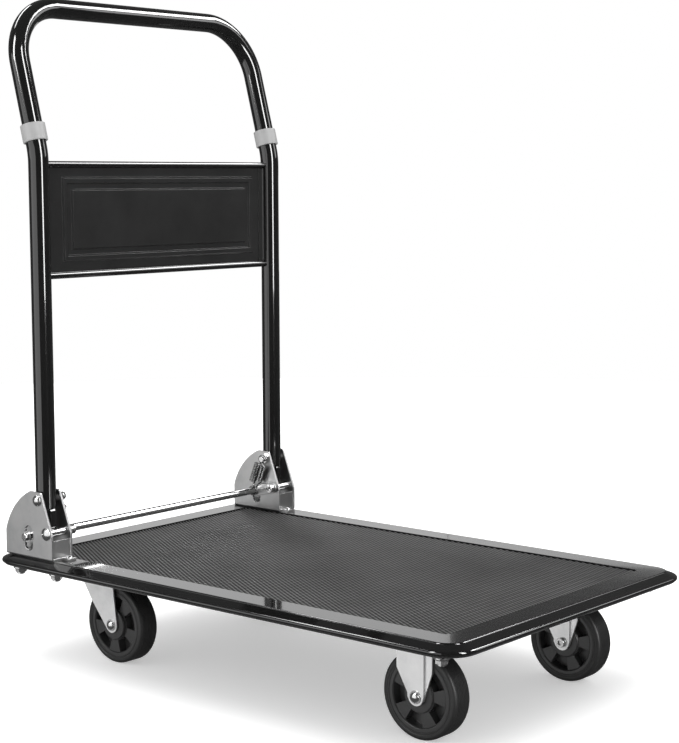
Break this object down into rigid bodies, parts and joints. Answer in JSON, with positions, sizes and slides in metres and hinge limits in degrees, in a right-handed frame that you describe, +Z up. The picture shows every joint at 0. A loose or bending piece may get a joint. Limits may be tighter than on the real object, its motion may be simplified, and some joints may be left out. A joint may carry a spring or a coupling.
{
  "type": "folding platform cart",
  "caption": "Flatbed hand cart with a ribbed mat deck, a fold-down push handle released by a foot bar, rigid front casters and swivel rear casters.",
  "frame": {"origin": "on the floor under the middle of the deck", "axes": "+X forward, away from the handle; +Y to the left of the person pushing; +Z up"},
  "size_m": [0.74, 0.48, 0.8407],
  "materials": {
    "black_paint": "gloss",
    "mat_rubber": "matt, fine diamond texture",
    "zinc_sheet": "zinc plated, satin",
    "chrome": "polished",
    "zinc_hardware": "zinc plated",
    "grey_plastic": "matt",
    "tyre_rubber": "matt",
    "hub_plastic": "satin"
  },
  "bodies": {
    "chassis": {"deck_shell": "black_paint", "deck_mat": "mat_rubber", "cross_members": "black_paint", "deck_stiffeners": "black_paint", "side_rail_left": "black_paint", "side_rail_right": "black_paint", "rail_studs": "zinc_hardware", "deck_nuts": "zinc_hardware", "bracket_left": "zinc_sheet", "bracket_right": "zinc_sheet", "bracket_bolts": "zinc_hardware", "tab_screws": "zinc_hardware", "lever_bolts": "zinc_hardware", "handle_bolts": "zinc_hardware", "pivot_nuts": "zinc_hardware", "pivot_spacers": "chrome", "rigid_fork_left": "zinc_sheet", "rigid_fork_right": "zinc_sheet", "front_axle_bolts": "zinc_hardware", "front_axle_nuts": "zinc_hardware", "front_axle_sleeves": "zinc_hardware", "caster_bolts": "zinc_hardware", "swivel_plate_left": "zinc_sheet", "swivel_plate_right": "zinc_sheet", "kingpins": "zinc_hardware"},
    "handle": {"lower_tube_left": "black_paint", "lower_tube_right": "black_paint", "upper_loop": "black_paint", "collar_left": "grey_plastic", "collar_right": "grey_plastic", "back_panel": "black_paint", "panel_rails": "black_paint", "handle_foot_left": "black_paint", "handle_foot_right": "black_paint"},
    "foot_lock": {"foot_bar": "chrome", "bar_clips": "zinc_hardware", "lock_lever_left": "zinc_sheet", "lock_lever_right": "zinc_sheet", "lock_springs_left": "chrome", "lock_springs_right": "chrome"},
    "swivel_left": {"swivel_fork_left": "zinc_sheet", "swivel_balls_left": "zinc_hardware", "rear_axle_bolt_left": "zinc_hardware", "rear_axle_nut_left": "zinc_hardware", "rear_axle_sleeve_left": "zinc_hardware"},
    "wheel_front_left": {"tyre_front_left": "tyre_rubber", "hub_front_left": "hub_plastic"},
    "wheel_rear_left": {"tyre_rear_left": "tyre_rubber", "hub_rear_left": "hub_plastic"},
    "swivel_right": {"swivel_fork_right": "zinc_sheet", "swivel_balls_right": "zinc_hardware", "rear_axle_bolt_right": "zinc_hardware", "rear_axle_nut_right": "zinc_hardware", "rear_axle_sleeve_right": "zinc_hardware"},
    "wheel_front_right": {"tyre_front_right": "tyre_rubber", "hub_front_right": "hub_plastic"},
    "wheel_rear_right": {"tyre_rear_right": "tyre_rubber", "hub_rear_right": "hub_plastic"}
  },
  "joints": [
    {"name": "handle_fold", "type": "hinge", "parent": "chassis", "child": "handle", "pos_m": [-0.2875, 0, 0.212], "axis": [0, 1, 0], "range_deg": [0, 98]},
    {"name": "foot_lock_press", "type": "hinge", "parent": "chassis", "child": "foot_lock", "pos_m": [-0.272, 0, 0.171], "axis": [0, -1, 0], "range_deg": [0, 16], "stiffness_Nm_per_rad": 3, "springref_deg": -17.19, "deforming": ["lock_springs_left", "lock_springs_right"]},
    {"name": "swivel_turn_left", "type": "hinge", "parent": "chassis", "child": "swivel_left", "pos_m": [-0.255, 0.146, 0.11], "axis": [0, 0, 1], "continuous": true},
    {"name": "wheel_spin_rear_left", "type": "hinge", "parent": "swivel_left", "child": "wheel_rear_left", "pos_m": [-0.225, 0.146, 0.05], "axis": [0, 1, 0], "continuous": true},
    {"name": "wheel_spin_front_left", "type": "hinge", "parent": "chassis", "child": "wheel_front_left", "pos_m": [0.261, 0.146, 0.05], "axis": [0, 1, 0], "continuous": true},
    {"name": "swivel_turn_right", "type": "hinge", "parent": "chassis", "child": "swivel_right", "pos_m": [-0.255, -0.146, 0.11], "axis": [0, 0, 1], "continuous": true},
    {"name": "wheel_spin_rear_right", "type": "hinge", "parent": "swivel_right", "child": "wheel_rear_right", "pos_m": [-0.225, -0.146, 0.05], "axis": [0, 1, 0], "continuous": true},
    {"name": "wheel_spin_front_right", "type": "hinge", "parent": "chassis", "child": "wheel_front_right", "pos_m": [0.261, -0.146, 0.05], "axis": [0, 1, 0], "continuous": true}
  ]
}
